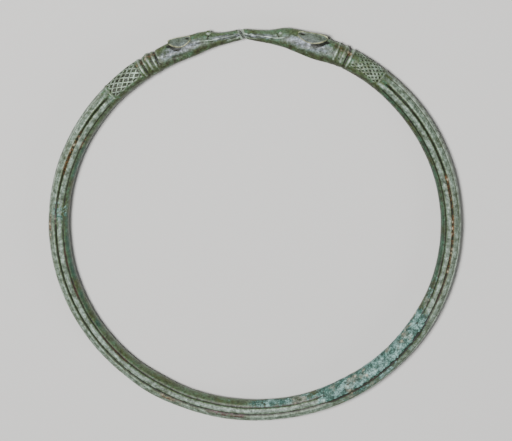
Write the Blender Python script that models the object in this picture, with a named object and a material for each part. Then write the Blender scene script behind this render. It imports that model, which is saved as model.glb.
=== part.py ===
"""Bronze torc: a heavy open neck ring, cast in one piece, that ends in two animal heads.

Metres, +Z up. The ring lies flat with its gap towards +Y, and its origin is on the surface that
it lies on, under the middle of its box. A point of the bar is given by its distance round the
ring from the middle of the gap, and by an angle round the bar's section: 0 degrees faces away
from the neck, 90 is the top, 180 faces the neck, and minus 90 is the underside.
"""
import math
from collections import namedtuple

import bmesh
import bpy
from mathutils import Vector

# The hoop
RING_RADIUS = 0.0713
OUT_OF_ROUND = 0.00045
LONG_AXIS_ANGLE = 31.0
NECK_GAP = 0.0008
GAP_SLANT = 0.55
GAP_SLANT_REACH = 0.004
BAR_WIDTH = 0.0075
BAR_THICKNESS = 0.0076
WORN_FLAT_DEPTH = 0.0001

# Places where the cast bar is wider: direction in degrees from +X, reach in degrees, extra width
WIDE_PLACES = (
    (33.0, 34.0, 0.0006),
    (114.0, 20.0, 0.0004),
    (237.0, 12.0, 0.0007),
    (262.0, 24.0, 0.0005),
    (297.0, 28.0, 0.0009),
    (324.0, 16.0, 0.0005),
)

# The grooves that part the hoop's ridges: middle and half width in degrees, depth
NARROW_GROOVE = (38.0, 5.5, 0.00040)
WIDE_GROOVE = (79.0, 12.0, 0.00060)
INNER_GROOVE = (123.0, 12.0, 0.00036)
GROOVES = (NARROW_GROOVE, WIDE_GROOVE, INNER_GROOVE)
GROOVE_RUN_IN = 0.0022

# Stretches where corrosion has filled the grooves, the innermost one most: directions where
# each starts and ends, and the share of the innermost groove that is lost
FILLED_STRETCHES = (
    (287.0, 331.0, 0.95),
    (168.0, 179.0, 0.90),
)
FILLED_FADE = 4.0

# The terminals, from the gap backwards
HEAD_LENGTH = 0.0318
COLLAR_LENGTH = 0.0078
RIGHT_NET_LENGTH = 0.0114
LEFT_NET_LENGTH = 0.0126
END_RING_LENGTH = 0.0014
END_RING_HEIGHT = 0.00022
HEAD_FORM_FADE = 0.0118
# Half a cell of each net: along the bar, and round it
RIGHT_NET_CELL = (0.00104, 0.00076)
LEFT_NET_CELL = (0.00140, 0.00100)
NET_DEPTH = 0.00024
NET_EDGE_ANGLE = 108.0

# Sections of a head: share of its length back from the nose, then crown, jaw and half
# thickness as shares of half the bar's width
HEAD_SECTIONS = (
    (0.000, 0.60, 0.24, 0.27),
    (0.012, 0.66, 0.32, 0.38),
    (0.036, 0.66, 0.38, 0.43),
    (0.075, 0.61, 0.43, 0.46),
    (0.150, 0.57, 0.55, 0.50),
    (0.240, 0.58, 0.64, 0.55),
    (0.320, 0.70, 0.72, 0.62),
    (0.390, 0.88, 0.81, 0.67),
    (0.470, 1.02, 0.90, 0.69),
    (0.560, 1.02, 1.02, 0.69),
    (0.730, 1.04, 1.08, 0.69),
    (0.880, 1.01, 1.10, 0.76),
    (1.000, 0.97, 1.10, 0.83),
)
NET_SECTION = (1.05, 1.08, 0.94)

# The heads are turned a little on the bar, so that the crown faces slightly down
RIGHT_ROLL = 12.0
LEFT_ROLL = 20.0

# Differences between the two handmade heads: share of the head's length, reach as a share of
# it, extra size
RIGHT_THROAT = (0.82, 0.34, 0.0009)
LEFT_BROW = (0.36, 0.09, 0.0003)

# Beads and notches of each collar: share of its length, half width, height
RIGHT_BEADS = (
    (0.20, 0.0010, 0.00034),
    (0.53, 0.0012, 0.00040),
    (0.74, 0.0008, -0.00055),
    (0.89, 0.0006, 0.00022),
)
LEFT_BEADS = (
    (0.00, 0.0007, -0.00044),
    (0.15, 0.0006, 0.00022),
    (0.39, 0.0013, 0.00052),
    (0.69, 0.0008, -0.00052),
    (0.84, 0.0006, 0.00020),
)
# The beads fade on the side that faces the neck: angle where they start to, over how many
# degrees, and the share of them that is lost
BEAD_FADE = (95.0, 45.0, 0.75)

# Carving of a head: share of its length, angle, reach along as a share, reach round, height.
# The side of the muzzle, the eye's socket and the cheek
CARVINGS = (
    (0.20, 88.0, 0.24, 34.0, 0.00018),
    (0.38, 54.0, 0.06, 26.0, -0.00018),
    (0.56, 104.0, 0.12, 34.0, 0.00022),
)
# Lines carved on both heads: half width, then points along each line, with their share of the
# head's length, their angle and the height there
MOUTH = (0.0006, (0.02, 84.0, -0.00034), (0.075, 108.0, -0.00032), (0.19, 126.0, -0.00008))
LOWER_LIP = (0.0006, (0.05, 124.0, 0.00016), (0.17, 140.0, 0.00006))
CHEEKBONE = (
    0.0008,
    (0.03, 72.0, 0.00014),
    (0.10, 86.0, 0.00030),
    (0.24, 93.0, 0.00034),
    (0.34, 98.0, 0.00030),
    (0.50, 82.0, 0.00012),
)
TEAR_PIT = (0.0004, (0.364, 62.0, -0.00016), (0.386, 84.0, -0.00034))
LINES = (MOUTH, LOWER_LIP, CHEEKBONE, TEAR_PIT)
# Lines of one head only: the muscle and two creases of its jaw
RIGHT_LINES = (
    (0.0013, (0.63, 126.0, 0.00016), (0.755, 104.0, 0.00030), (0.985, 78.0, 0.00030)),
    (0.0009, (0.64, 118.0, -0.00006), (0.70, 107.0, -0.00022), (0.765, 94.0, -0.00008)),
    (0.0011, (0.64, 158.0, -0.00008), (0.74, 151.0, -0.00026), (0.81, 128.0, -0.00006)),
)
LEFT_LINES = (
    (0.0013, (0.60, 118.0, 0.00012), (0.78, 104.0, 0.00026), (0.96, 88.0, 0.00022)),
    (0.0008, (0.45, 98.0, -0.00008), (0.51, 93.0, -0.00026), (0.57, 88.0, -0.00012)),
    (0.0011, (0.66, 134.0, -0.00006), (0.76, 130.0, -0.00018), (0.86, 116.0, -0.00004)),
)

# Each eye: share of the head's length and angle of its middle, then its radius
RIGHT_EYE_PLACE = 0.400
LEFT_EYE_PLACE = 0.368
RIGHT_EYE_ANGLE = 60.0
LEFT_EYE_ANGLE = 33.0
RIGHT_EYE_RADIUS = 0.00064
LEFT_EYE_RADIUS = 0.00115
EYE_SINK = 0.00045

RIGHT_EAR_PLACE = 0.585
LEFT_EAR_PLACE = 0.562
RIGHT_EAR_LENGTH = 0.0102
LEFT_EAR_LENGTH = 0.0080
EAR_WIDTH = 0.0036
EAR_FULLEST = 0.9
EAR_ROUNDNESS = 0.40
EAR_THICKNESS = 0.0008
EAR_RIM_HEIGHT = 0.00040
EAR_RIM_PLACE = 0.74
EAR_FRONT_ANGLE = 54.0
EAR_SWING = 10.0
EAR_TURN_BACK = 8.0
EAR_FRONT_HEIGHT = 0.0004
EAR_TIP_HEIGHT = 0.0013
EAR_ROOT_DEPTH = 0.0006
EAR_ROOT_END = 0.35

# How finely the solid follows its shape
HALF_COLUMNS = 14
NOSE_ROWS = (0.0, 0.012, 0.030)
HEAD_ROWS = 26
COLLAR_ROWS = 11
HOOP_ROWS = 50
EAR_ROWS = 9

SMOOTH_ANGLE = 40.0

COLOUR = (0.20, 0.27, 0.22, 1.0)
ROUGHNESS = 0.62
METALLIC = 0.35

RING_LENGTH = 2 * math.pi * RING_RADIUS
HALF_WIDTH = BAR_WIDTH / 2
NOSE = NECK_GAP / 2
HEAD_END = NOSE + HEAD_LENGTH
COLLAR_END = HEAD_END + COLLAR_LENGTH
CENTRE_HEIGHT = BAR_THICKNESS / 2 - WORN_FLAT_DEPTH

# A row of points round the bar: its distance round the ring, and each point's angle and depth
Row = namedtuple("Row", "along angles pits")


def remove_everything():
    for thing in list(bpy.data.objects):
        bpy.data.objects.remove(thing)


def bell(distance, reach):
    """A smooth hump: 1 in its middle, 0 at its reach and beyond."""
    share = min(abs(distance) / reach, 1.0)
    return 0.5 + 0.5 * math.cos(math.pi * share)


def ease(share):
    """A smooth step from 0 to 1."""
    share = min(max(share, 0.0), 1.0)
    return share * share * (3 - 2 * share)


def mix(low, high, share):
    return low + (high - low) * share


def slope(rows, index, column):
    before = rows[max(index - 1, 0)]
    after = rows[min(index + 1, len(rows) - 1)]
    return (after[column] - before[column]) / (after[0] - before[0])


def read_smoothly(rows, place):
    """The values at a place, on smooth curves through the rows of a table."""
    index = 0
    while index < len(rows) - 2 and place > rows[index + 1][0]:
        index += 1
    span = rows[index + 1][0] - rows[index][0]
    share = min(max((place - rows[index][0]) / span, 0.0), 1.0)
    values = []
    for column in range(1, len(rows[0])):
        start = rows[index][column]
        end = rows[index + 1][column]
        start_slope = slope(rows, index, column) * span
        end_slope = slope(rows, index + 1, column) * span
        cubic = 2 * start - 2 * end + start_slope + end_slope
        square = 3 * end - 3 * start - 2 * start_slope - end_slope
        values.append(((cubic * share + square) * share + start_slope) * share + start)
    return values


def terminal_place(along):
    """Distance from the gap, and 1 on the right terminal's side or -1 on the left's."""
    if along < RING_LENGTH / 2:
        return along, 1
    return RING_LENGTH - along, -1


def on_side(place, side):
    """The distance round the ring of a place on one terminal."""
    return place if side > 0 else RING_LENGTH - place


def net_end(side):
    """How far from the gap the net of one side ends."""
    return COLLAR_END + (RIGHT_NET_LENGTH if side > 0 else LEFT_NET_LENGTH)


def hoop_start(side):
    """How far from the gap the hoop starts on one side, behind the ring that ends the net."""
    return net_end(side) + END_RING_LENGTH


def direction(along):
    """Where a distance round the ring lies, as an angle from +X."""
    return math.pi / 2 - along / RING_RADIUS


def compass(along):
    """The same direction in degrees from 0 to 360."""
    return math.degrees(direction(along)) % 360


def ring_point(along, outward, height):
    """The place of a point given by its distance round the ring and its place in the section."""
    slant = GAP_SLANT * bell(terminal_place(along)[0], GAP_SLANT_REACH)
    turn = direction(along - slant * outward)
    long_axis = math.radians(LONG_AXIS_ANGLE)
    radius = RING_RADIUS + OUT_OF_ROUND * math.cos(2 * (turn - long_axis)) + outward
    return Vector((radius * math.cos(turn), radius * math.sin(turn), CENTRE_HEIGHT + height))


def hoop_half_width(along):
    width = BAR_WIDTH
    for middle, reach, extra in WIDE_PLACES:
        width += extra * bell(compass(along) - middle, reach)
    return width / 2


def section_sizes(along):
    """How far the section reaches outwards, inwards, and up or down."""
    place, side = terminal_place(along)
    head_share = (place - NOSE) / HEAD_LENGTH
    crown, jaw, rise = [share * HALF_WIDTH for share in read_smoothly(HEAD_SECTIONS, head_share)]
    net_crown, net_jaw, net_rise = [share * HALF_WIDTH for share in NET_SECTION]
    to_net = ease((place - HEAD_END) / HEAD_FORM_FADE)
    to_hoop = ease((place - COLLAR_END) / (hoop_start(side) - COLLAR_END))
    crown = mix(mix(crown, net_crown, to_net), hoop_half_width(along), to_hoop)
    jaw = mix(mix(jaw, net_jaw, to_net), hoop_half_width(along), to_hoop)
    rise = mix(mix(rise, net_rise, to_net), BAR_THICKNESS / 2, to_hoop)
    if side > 0:
        jaw += RIGHT_THROAT[2] * bell(head_share - RIGHT_THROAT[0], RIGHT_THROAT[1])
    else:
        crown += LEFT_BROW[2] * bell(head_share - LEFT_BROW[0], LEFT_BROW[1])
    return crown, jaw, rise


def head_roll(along):
    """How far the section is turned on the bar, fully on the head and not at all past the collar."""
    place, side = terminal_place(along)
    roll = math.radians(RIGHT_ROLL if side > 0 else LEFT_ROLL)
    return roll * (1 - ease((place - HEAD_END) / COLLAR_LENGTH))


def line_height(head_share, angle, line):
    """Height of a line carved on a head: that of its nearest point, and less beside it."""
    half_width, *points = line
    nearest = half_width
    height = 0.0
    for start, end in zip(points, points[1:]):
        run = (end[0] - start[0]) * HEAD_LENGTH
        climb = math.radians(end[1] - start[1]) * HALF_WIDTH
        across = (head_share - start[0]) * HEAD_LENGTH
        around = math.radians(angle - start[1]) * HALF_WIDTH
        share = min(max((across * run + around * climb) / (run * run + climb * climb), 0.0), 1.0)
        distance = math.hypot(across - share * run, around - share * climb)
        if distance < nearest:
            nearest = distance
            height = mix(start[2], end[2], share)
    return height * bell(nearest, half_width)


def groove_fill(along):
    """The share of the innermost groove that corrosion has filled."""
    fill = 0.0
    here = compass(along)
    for start, end, lost in FILLED_STRETCHES:
        fill += lost * ease((here - start) / FILLED_FADE) * ease((end - here) / FILLED_FADE)
    return fill


def carved_height(along, angle):
    """How far the carving raises the surface above the plain section."""
    place, side = terminal_place(along)
    angle = abs(angle)
    head_share = (place - NOSE) / HEAD_LENGTH
    height = 0.0
    for share, middle, reach, spread, rise in CARVINGS:
        height += rise * bell(head_share - share, reach) * bell(angle - middle, spread)
    for line in LINES + (RIGHT_LINES if side > 0 else LEFT_LINES):
        height += line_height(head_share, angle, line)
    fade_start, fade_length, lost = BEAD_FADE
    plain_inside = 1 - lost * ease((angle - fade_start) / fade_length)
    for share, reach, rise in (RIGHT_BEADS if side > 0 else LEFT_BEADS):
        height += plain_inside * rise * bell(place - HEAD_END - share * COLLAR_LENGTH, reach)
    ring_middle = net_end(side) + END_RING_LENGTH / 2
    height += plain_inside * END_RING_HEIGHT * bell(place - ring_middle, END_RING_LENGTH / 2)
    run_in = ease((place - hoop_start(side)) / GROOVE_RUN_IN)
    for middle, spread, depth in GROOVES:
        left = run_in * (1 - groove_fill(along) * middle / INNER_GROOVE[0])
        height -= left * depth * bell(angle - middle, spread)
    return height


def section_point(along, angle, extra=0.0):
    """The surface of the bar at an angle round its section, raised by an extra height."""
    crown, jaw, rise = section_sizes(along)
    turn = math.radians(angle)
    raised = carved_height(along, angle) + extra
    outward = ((crown if abs(angle) < 90 else jaw) + raised) * math.cos(turn)
    height = (rise + raised) * math.sin(turn)
    roll = head_roll(along)
    rolled_outward = outward * math.cos(roll) + height * math.sin(roll)
    rolled_height = height * math.cos(roll) - outward * math.sin(roll)
    return ring_point(along, rolled_outward, max(rolled_height, -CENTRE_HEIGHT))


def even_angles():
    return [180.0 * step / HALF_COLUMNS for step in range(HALF_COLUMNS + 1)]


def net_steps(side):
    """How many half cells of one side's net follow each other along the bar, and round it."""
    length, cell = (RIGHT_NET_LENGTH, RIGHT_NET_CELL) if side > 0 else (LEFT_NET_LENGTH, LEFT_NET_CELL)
    return round(length / cell[0]), round(math.radians(NET_EDGE_ANGLE) * HALF_WIDTH / cell[1])


def net_angles(side):
    """Columns half a cell apart over the net, and wider apart on the plain inner side."""
    cells = net_steps(side)[1]
    rest = HALF_COLUMNS - cells
    angles = [NET_EDGE_ANGLE * step / cells for step in range(cells + 1)]
    return angles + [mix(NET_EDGE_ANGLE, 180.0, step / rest) for step in range(1, rest + 1)]


def hoop_angles():
    """Columns on the edges and the floor of each groove, and on the crest of each ridge."""
    angles = [0.0]
    for middle, spread, _ in GROOVES:
        angles.append((angles[-1] + middle - spread) / 2)
        angles += [middle - spread, middle, middle + spread]
    return angles + [(angles[-1] + 180.0) / 2, 180.0]


def plain_row(along, half_angles):
    """A row whose points all lie on the surface."""
    angles = half_angles + [-angle for angle in half_angles[-2:0:-1]]
    return Row(along, angles, [0.0] * len(angles))


def net_row(along, side, step):
    """A row of the net, whose points are in turn its crossings and the middles of its cells."""
    row = plain_row(along, net_angles(side))
    for column, angle in enumerate(row.angles):
        if (step + column) % 2 and abs(angle) <= NET_EDGE_ANGLE:
            row.pits[column] = NET_DEPTH
    return row


def terminal_rows(side):
    """Rows of one terminal, from the nose back to the hoop."""
    rows = [plain_row(NOSE + share * HEAD_LENGTH, even_angles()) for share in NOSE_ROWS]
    for step in range(1, HEAD_ROWS + 1):
        share = mix(NOSE_ROWS[-1], 1.0, step / HEAD_ROWS)
        rows.append(plain_row(NOSE + share * HEAD_LENGTH, even_angles()))
    for step in range(1, COLLAR_ROWS):
        rows.append(plain_row(HEAD_END + COLLAR_LENGTH * step / COLLAR_ROWS, even_angles()))
    steps = net_steps(side)[0]
    for step in range(steps + 1):
        rows.append(net_row(mix(COLLAR_END, net_end(side), step / steps), side, step))
    between = [(net + hoop) / 2 for net, hoop in zip(net_angles(side), hoop_angles())]
    rows.append(plain_row(net_end(side) + END_RING_LENGTH / 2, between))
    rows.append(plain_row(hoop_start(side), hoop_angles()))
    rows.append(plain_row(hoop_start(side) + GROOVE_RUN_IN, hoop_angles()))
    return [row._replace(along=on_side(row.along, side)) for row in rows]


def bar_rows():
    """All rows of the bar, from the right nose round the back to the left nose."""
    start = hoop_start(1) + GROOVE_RUN_IN
    end = RING_LENGTH - hoop_start(-1) - GROOVE_RUN_IN
    hoop = [
        plain_row(mix(start, end, step / HOOP_ROWS), hoop_angles())
        for step in range(1, HOOP_ROWS)
    ]
    return terminal_rows(1) + hoop + terminal_rows(-1)[::-1]


def lay_faces(bm, row, next_row, near, far):
    """Join two rows of points by triangles, each pair of them split along its higher diagonal."""
    for column in range(len(near)):
        after = (column + 1) % len(near)
        corners = [near[column], near[after], far[after], far[column]]
        one_way = row.pits[column] + next_row.pits[after]
        other_way = row.pits[after] + next_row.pits[column]
        if other_way < one_way:
            corners = corners[1:] + corners[:1]
        bm.faces.new((corners[0], corners[1], corners[2]))
        bm.faces.new((corners[0], corners[2], corners[3]))


def make_bar():
    """The closed skin of the bar, laid over its rows of points."""
    bm = bmesh.new()
    rows = bar_rows()
    loops = []
    for row in rows:
        loops.append([
            bm.verts.new(section_point(row.along, angle, -pit))
            for angle, pit in zip(row.angles, row.pits)
        ])
    for index in range(len(rows) - 1):
        lay_faces(bm, rows[index], rows[index + 1], loops[index], loops[index + 1])
    noses = [bm.faces.new(loops[0]), bm.faces.new(loops[-1])]
    bmesh.ops.triangulate(bm, faces=noses)
    bmesh.ops.recalc_face_normals(bm, faces=bm.faces)
    return new_object("torc", bm)


def new_object(name, bm):
    mesh = bpy.data.meshes.new(name)
    bm.to_mesh(mesh)
    bm.free()
    thing = bpy.data.objects.new(name, mesh)
    bpy.context.scene.collection.objects.link(thing)
    return thing


def ear_point(side, level, share, across, outer):
    """A point of an ear: share of its length, place across it from -1 to 1, outer or under side."""
    start = NOSE + (RIGHT_EAR_PLACE if side > 0 else LEFT_EAR_PLACE) * HEAD_LENGTH
    length = RIGHT_EAR_LENGTH if side > 0 else LEFT_EAR_LENGTH
    along = on_side(start + share * length, side)
    fullness = max(math.sin(math.pi * share ** EAR_FULLEST), 0.0) ** EAR_ROUNDNESS
    half_width = EAR_WIDTH / 2 * fullness
    middle = EAR_FRONT_ANGLE + EAR_SWING * math.sin(math.pi * share) - EAR_TURN_BACK * share ** 2
    angle = middle + math.degrees(across * half_width / HALF_WIDTH)
    if outer:
        height = mix(EAR_FRONT_HEIGHT, EAR_TIP_HEIGHT, ease(share))
        height += EAR_RIM_HEIGHT * bell(abs(across) - EAR_RIM_PLACE, 1 - EAR_RIM_PLACE)
    else:
        lift = ease((share - EAR_ROOT_END) / (1 - EAR_ROOT_END))
        height = mix(-EAR_ROOT_DEPTH, EAR_TIP_HEIGHT - EAR_THICKNESS, lift)
    return section_point(along, level * angle, height)


def make_ear(side, level):
    """A leaf-shaped ear with a raised rim, rooted in the head in front and free behind."""
    bm = bmesh.new()
    loops = []
    crossing = (-1.0, -EAR_RIM_PLACE, 0.0, EAR_RIM_PLACE, 1.0)
    for row in range(1, EAR_ROWS):
        share = 0.5 - 0.5 * math.cos(math.pi * row / EAR_ROWS)
        points = [ear_point(side, level, share, across, True) for across in crossing]
        points += [ear_point(side, level, share, across, False) for across in reversed(crossing)]
        loops.append([bm.verts.new(point) for point in points])
    for near, far in zip(loops, loops[1:]):
        for column in range(len(near)):
            after = (column + 1) % len(near)
            bm.faces.new((near[column], near[after], far[after], far[column]))
    for share, loop in ((0.0, loops[0]), (1.0, loops[-1])):
        ends = [ear_point(side, level, share, 0.0, outer) for outer in (True, False)]
        tip = bm.verts.new((ends[0] + ends[1]) / 2)
        for column in range(len(loop)):
            bm.faces.new((tip, loop[column], loop[(column + 1) % len(loop)]))
    bmesh.ops.recalc_face_normals(bm, faces=bm.faces)
    bmesh.ops.triangulate(bm, faces=bm.faces)
    return new_object("ear", bm)


def make_eye(side, level):
    """A small bulging eye, sunk into the side of the head."""
    place = RIGHT_EYE_PLACE if side > 0 else LEFT_EYE_PLACE
    along = on_side(NOSE + place * HEAD_LENGTH, side)
    angle = RIGHT_EYE_ANGLE if side > 0 else LEFT_EYE_ANGLE
    radius = RIGHT_EYE_RADIUS if side > 0 else LEFT_EYE_RADIUS
    bm = bmesh.new()
    bmesh.ops.create_icosphere(bm, subdivisions=2, radius=radius)
    bmesh.ops.translate(bm, vec=section_point(along, level * angle, -EYE_SINK), verts=bm.verts)
    return new_object("eye", bm)


def cast_together(body, addition):
    """Make an addition one solid with the body."""
    addition.hide_render = True
    addition.display_type = "WIRE"
    union = body.modifiers.new(addition.name, "BOOLEAN")
    union.operation = "UNION"
    union.solver = "EXACT"
    union.object = addition


def centre_in_box(things):
    """Move the meshes so that the origin is under the middle of the ring's box."""
    corners = [vertex.co for thing in things for vertex in thing.data.vertices]
    shift = Vector((0.0, 0.0, 0.0))
    for axis in (0, 1):
        values = [corner[axis] for corner in corners]
        shift[axis] = -(min(values) + max(values)) / 2
    for thing in things:
        for vertex in thing.data.vertices:
            vertex.co += shift


def bronze():
    material = bpy.data.materials.new("patinated_bronze")
    material.use_nodes = True
    shader = material.node_tree.nodes["Principled BSDF"]
    shader.inputs["Base Color"].default_value = COLOUR
    shader.inputs["Roughness"].default_value = ROUGHNESS
    shader.inputs["Metallic"].default_value = METALLIC
    return material


def main():
    remove_everything()
    torc = make_bar()
    additions = []
    for side in (1, -1):
        for level in (1, -1):
            additions += [make_ear(side, level), make_eye(side, level)]
    centre_in_box([torc] + additions)
    for addition in additions:
        cast_together(torc, addition)
    torc.data.materials.append(bronze())
    torc.data.shade_smooth()
    torc.data.set_sharp_from_angle(angle=math.radians(SMOOTH_ANGLE))


main()
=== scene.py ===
"""Bronze torc: the corroded skin of a cast neck ring that ends in two animal heads.

Metres, +Z up. The ring lies flat with its gap towards +Y. A point of the bar is given by its
distance round the ring from the middle of the gap, and by an angle round the bar's section:
0 degrees faces away from the neck, 90 is the top, 180 faces the neck, minus 90 is the underside.
"""
import math
from collections import namedtuple
from functools import lru_cache

import bmesh
import bpy
import numpy as np
from mathutils import Matrix, Vector, noise


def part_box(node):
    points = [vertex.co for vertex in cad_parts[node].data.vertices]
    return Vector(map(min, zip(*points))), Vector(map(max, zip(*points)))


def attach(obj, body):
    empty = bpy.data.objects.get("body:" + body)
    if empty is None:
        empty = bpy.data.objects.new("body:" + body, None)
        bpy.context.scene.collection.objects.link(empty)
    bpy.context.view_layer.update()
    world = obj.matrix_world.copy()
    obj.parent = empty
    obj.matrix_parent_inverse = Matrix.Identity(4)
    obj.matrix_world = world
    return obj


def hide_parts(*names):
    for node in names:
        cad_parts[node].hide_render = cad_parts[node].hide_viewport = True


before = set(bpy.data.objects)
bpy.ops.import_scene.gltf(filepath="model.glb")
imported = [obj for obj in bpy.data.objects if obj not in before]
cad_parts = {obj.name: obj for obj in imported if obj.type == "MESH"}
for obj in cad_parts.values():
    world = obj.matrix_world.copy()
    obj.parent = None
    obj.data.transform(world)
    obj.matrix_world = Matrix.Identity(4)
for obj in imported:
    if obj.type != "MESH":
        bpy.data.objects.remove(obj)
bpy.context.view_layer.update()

# The hoop
RING_RADIUS = 0.0713
OUT_OF_ROUND = 0.00045
LONG_AXIS_ANGLE = 31.0
NECK_GAP = 0.0008
GAP_SLANT = 0.55
GAP_SLANT_REACH = 0.004
BAR_WIDTH = 0.0075
BAR_THICKNESS = 0.0076
WORN_FLAT_DEPTH = 0.0001

# Places where the cast bar is wider: direction in degrees from +X, reach in degrees, extra width
WIDE_PLACES = (
    (33.0, 34.0, 0.0006),
    (114.0, 20.0, 0.0004),
    (237.0, 12.0, 0.0007),
    (262.0, 24.0, 0.0005),
    (297.0, 28.0, 0.0009),
    (324.0, 16.0, 0.0005),
)

# The grooves that part the hoop's ridges: middle and half width in degrees, depth
NARROW_GROOVE = (38.0, 5.5, 0.00040)
WIDE_GROOVE = (79.0, 12.0, 0.00060)
INNER_GROOVE = (123.0, 12.0, 0.00036)
GROOVES = (NARROW_GROOVE, WIDE_GROOVE, INNER_GROOVE)
GROOVE_RUN_IN = 0.0022

# Stretches where corrosion has filled the grooves, the innermost one most: directions where
# each starts and ends, and the share of the innermost groove that is lost
FILLED_STRETCHES = (
    (287.0, 331.0, 0.95),
    (168.0, 179.0, 0.90),
)
FILLED_FADE = 4.0

# How many degrees a groove wavers round the section, and over what length of the bar and how
# many degrees that changes
GROOVE_WAVER = 1.6
GROOVE_WAVER_LENGTH = 0.012
GROOVE_WAVER_SPREAD = 60.0

# The terminals, from the gap backwards
HEAD_LENGTH = 0.0318
COLLAR_LENGTH = 0.0078
RIGHT_NET_LENGTH = 0.0114
LEFT_NET_LENGTH = 0.0126
END_RING_LENGTH = 0.0014
END_RING_HEIGHT = 0.00022
HEAD_FORM_FADE = 0.0118
NET_EDGE_ANGLE = 108.0

# Each net: half a cell along the bar and round it, half width of its lines, and how much of it
# is worn away towards the collar
RIGHT_NET = (0.00104, 0.00076, 0.00022, 0.85)
LEFT_NET = (0.00140, 0.00100, 0.00017, 0.20)
NET_DEPTH = 0.00026
NET_WALL = 0.00022
# Where a net is worn: share of its length at which the wear ends, over what share, and the
# middle and reach of the wear round the section
NET_WEAR = (0.12, 0.25, 62.0, 60.0)

# Sections of a head: share of its length back from the nose, then crown, jaw and half
# thickness as shares of half the bar's width
HEAD_SECTIONS = (
    (0.000, 0.60, 0.24, 0.27),
    (0.012, 0.66, 0.32, 0.38),
    (0.036, 0.66, 0.38, 0.43),
    (0.075, 0.61, 0.43, 0.46),
    (0.150, 0.57, 0.55, 0.50),
    (0.240, 0.58, 0.64, 0.55),
    (0.320, 0.70, 0.72, 0.62),
    (0.390, 0.88, 0.81, 0.67),
    (0.470, 1.02, 0.90, 0.69),
    (0.560, 1.02, 1.02, 0.69),
    (0.730, 1.04, 1.08, 0.69),
    (0.880, 1.01, 1.10, 0.76),
    (1.000, 0.97, 1.10, 0.83),
)
NET_SECTION = (1.05, 1.08, 0.94)
RIGHT_ROLL = 12.0
LEFT_ROLL = 20.0

# Differences between the two heads: share of the head's length, reach as a share, extra size
RIGHT_THROAT = (0.82, 0.34, 0.0009)
LEFT_BROW = (0.36, 0.09, 0.0003)

# Beads and notches of each collar: share of its length, half width, height
RIGHT_BEADS = (
    (0.20, 0.0010, 0.00034),
    (0.53, 0.0012, 0.00040),
    (0.74, 0.0008, -0.00055),
    (0.89, 0.0006, 0.00022),
)
LEFT_BEADS = (
    (0.00, 0.0007, -0.00044),
    (0.15, 0.0006, 0.00022),
    (0.39, 0.0013, 0.00052),
    (0.69, 0.0008, -0.00052),
    (0.84, 0.0006, 0.00020),
)
# The beads fade on the side that faces the neck: angle where they start to, over how many
# degrees, and the share of them that is lost
BEAD_FADE = (95.0, 45.0, 0.75)

# Carving of a head: share of its length, angle, reach along as a share, reach round, height.
# The side of the muzzle, the eye's socket and the cheek
CARVINGS = (
    (0.20, 88.0, 0.24, 34.0, 0.00018),
    (0.38, 54.0, 0.06, 26.0, -0.00018),
    (0.56, 104.0, 0.12, 34.0, 0.00022),
)
# Lines carved on both heads: half width, then points along each line, with their share of the
# head's length, their angle and the height there
MOUTH = (0.0006, (0.02, 84.0, -0.00034), (0.075, 108.0, -0.00032), (0.19, 126.0, -0.00008))
LOWER_LIP = (0.0006, (0.05, 124.0, 0.00016), (0.17, 140.0, 0.00006))
CHEEKBONE = (
    0.0008,
    (0.03, 72.0, 0.00014),
    (0.10, 86.0, 0.00030),
    (0.24, 93.0, 0.00034),
    (0.34, 98.0, 0.00030),
    (0.50, 82.0, 0.00012),
)
TEAR_PIT = (0.0004, (0.364, 62.0, -0.00016), (0.386, 84.0, -0.00034))
LINES = (MOUTH, LOWER_LIP, CHEEKBONE, TEAR_PIT)
# Lines of one head only: the muscle and two creases of its jaw
RIGHT_LINES = (
    (0.0013, (0.63, 126.0, 0.00016), (0.755, 104.0, 0.00030), (0.985, 78.0, 0.00030)),
    (0.0009, (0.64, 118.0, -0.00006), (0.70, 107.0, -0.00022), (0.765, 94.0, -0.00008)),
    (0.0011, (0.64, 158.0, -0.00008), (0.74, 151.0, -0.00026), (0.81, 128.0, -0.00006)),
)
LEFT_LINES = (
    (0.0013, (0.60, 118.0, 0.00012), (0.78, 104.0, 0.00026), (0.96, 88.0, 0.00022)),
    (0.0008, (0.45, 98.0, -0.00008), (0.51, 93.0, -0.00026), (0.57, 88.0, -0.00012)),
    (0.0011, (0.66, 134.0, -0.00006), (0.76, 130.0, -0.00018), (0.86, 116.0, -0.00004)),
)

# Each eye: share of the head's length and angle of its middle, then its radius
RIGHT_EYE_PLACE = 0.400
LEFT_EYE_PLACE = 0.368
RIGHT_EYE_ANGLE = 60.0
LEFT_EYE_ANGLE = 33.0
RIGHT_EYE_RADIUS = 0.00064
LEFT_EYE_RADIUS = 0.00115
EYE_SINK = 0.00045
EYE_SUBDIVISIONS = 3

RIGHT_EAR_PLACE = 0.585
LEFT_EAR_PLACE = 0.562
RIGHT_EAR_LENGTH = 0.0102
LEFT_EAR_LENGTH = 0.0080
EAR_WIDTH = 0.0036
EAR_FULLEST = 0.9
EAR_ROUNDNESS = 0.40
EAR_THICKNESS = 0.0008
EAR_RIM_HEIGHT = 0.00040
EAR_RIM_PLACE = 0.85
EAR_RIM_REACH = 0.15
EAR_FRONT_ANGLE = 54.0
EAR_SWING = 10.0
EAR_TURN_BACK = 8.0
EAR_FRONT_HEIGHT = 0.0004
EAR_TIP_HEIGHT = 0.0013
EAR_ROOT_DEPTH = 0.0006
EAR_ROOT_END = 0.35
EAR_WALL_STEEPNESS = 1.2
EAR_DISH = 0.00006
# Nearer to its ball's axis than this, a vertex of an ear is at a pole
EAR_POLE_WIDTH = 0.000001
# The pit of an ear: share of its length, place across it, reaches, depth
EAR_PIT = (0.16, -0.34, 0.11, 0.42, 0.00030)

# The corroded skin: heights of its relief, and the sizes of what makes it uneven
SWELL_HEIGHT = 0.00007
SWELL_SIZE = 0.0075
SKIN_HEIGHT = 0.00003
SKIN_SIZE = 0.0013
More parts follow.
